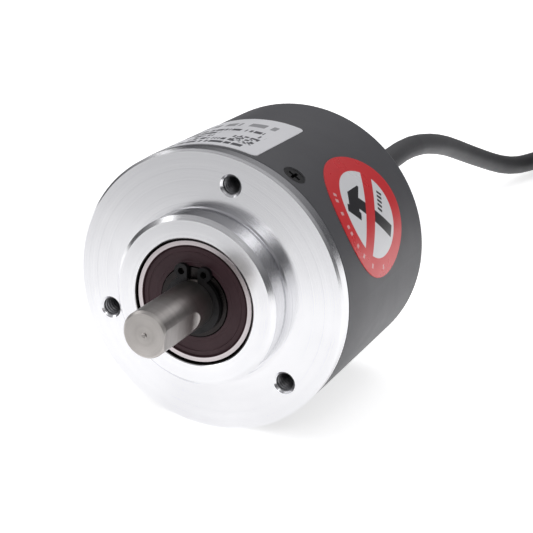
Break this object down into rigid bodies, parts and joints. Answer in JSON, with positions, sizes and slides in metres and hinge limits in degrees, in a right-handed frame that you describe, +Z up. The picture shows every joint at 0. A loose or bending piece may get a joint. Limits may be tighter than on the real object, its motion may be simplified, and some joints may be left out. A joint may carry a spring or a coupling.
{
  "type": "rotary encoder",
  "caption": "Round flange-mounted rotary encoder with a flatted shaft, pilot boss, tapped mounting holes, steel cover and rear cable.",
  "frame": {"origin": "on the shaft's axis, in the plane of the flange's mounting face", "axes": "shaft along Y with its free end towards -Y, +Z up as the encoder lies on its side, +X to the right seen from the shaft end"},
  "size_m": [0.1006, 0.249, 0.0501],
  "materials": {
    "turned_aluminium": "fine turned, satin",
    "cover_coating": "satin powder coat",
    "ground_steel": "ground",
    "bearing_steel": "ground and polished",
    "seal_rubber": "matt",
    "black_rubber": "matt",
    "phosphated_steel": "black phosphate",
    "screw_steel": "black oxide",
    "bright_steel": "zinc plated",
    "cage_nylon": "moulded",
    "disc_glass": "clear",
    "track_chrome": "vacuum coated",
    "bracket_plastic": "moulded",
    "emitter_resin": "clear tinted resin",
    "board_laminate": "solder mask",
    "chip_epoxy": "moulded epoxy",
    "capacitor_ceramic": "fired ceramic",
    "plug_nylon": "moulded",
    "contact_metal": "plated",
    "lead_insulation": "extruded",
    "cable_jacket": "matt extruded",
    "tie_nylon": "moulded",
    "tinned_copper": "tinned",
    "label_film": "satin film",
    "sticker_film": "printed gloss film"
  },
  "bodies": {
    "housing": {"flange_body": "turned_aluminium", "cover": "cover_coating", "cover_screws": "screw_steel", "cover_o_ring": "black_rubber", "front_bearing_outer_ring": "bearing_steel", "front_bearing_front_seal": "seal_rubber", "front_bearing_back_seal": "seal_rubber", "rear_bearing_outer_ring": "bearing_steel", "rear_bearing_front_seal": "seal_rubber", "rear_bearing_back_seal": "seal_rubber", "preload_washer": "bright_steel", "emitter_bracket": "bracket_plastic", "emitter_bracket_screws": "bright_steel", "emitter": "emitter_resin", "emitter_pins": "contact_metal", "mask_plate": "track_chrome", "photo_sensor": "chip_epoxy", "sensor_board": "board_laminate", "output_board": "board_laminate", "board_columns": "bright_steel", "board_spacers": "bright_steel", "board_screws": "bright_steel", "board_header": "bracket_plastic", "header_pins": "contact_metal", "driver_chips": "chip_epoxy", "board_capacitors": "capacitor_ceramic", "lead_plug": "plug_nylon", "inner_leads": "lead_insulation", "cable_gland": "black_rubber", "cable_crimp": "bright_steel", "cable": "cable_jacket", "cable_coil": "cable_jacket", "cable_ties": "tie_nylon", "end_sleeve": "black_rubber", "end_leads": "lead_insulation", "end_lead_tips": "tinned_copper", "rating_label": "label_film", "round_sticker": "sticker_film"},
    "rotor": {"shaft": "ground_steel", "front_retaining_ring": "phosphated_steel", "rear_retaining_ring": "phosphated_steel", "front_bearing_inner_ring": "bearing_steel", "rear_bearing_inner_ring": "bearing_steel", "disc_hub": "turned_aluminium", "hub_set_screw": "screw_steel", "code_disc": "disc_glass", "code_tracks": "track_chrome", "disc_clamp_ring": "turned_aluminium"},
    "front_ball_set": {"front_bearing_balls": "bearing_steel", "front_bearing_cage": "cage_nylon"},
    "rear_ball_set": {"rear_bearing_balls": "bearing_steel", "rear_bearing_cage": "cage_nylon"}
  },
  "joints": [
    {"name": "shaft_spin", "type": "hinge", "parent": "housing", "child": "rotor", "pos_m": [0, 0, 0], "axis": [0, -1, 0], "continuous": true},
    {"name": "front_ball_orbit", "type": "hinge", "parent": "housing", "child": "front_ball_set", "pos_m": [0, -0.0011, 0], "axis": [0, -1, 0], "continuous": true},
    {"name": "rear_ball_orbit", "type": "hinge", "parent": "housing", "child": "rear_ball_set", "pos_m": [0, 0.0162, 0], "axis": [0, -1, 0], "continuous": true}
  ],
  "couplings": [
    {"joint": "front_ball_orbit", "follows": "shaft_spin", "ratio": 0.3677},
    {"joint": "rear_ball_orbit", "follows": "shaft_spin", "ratio": 0.3677}
  ]
}
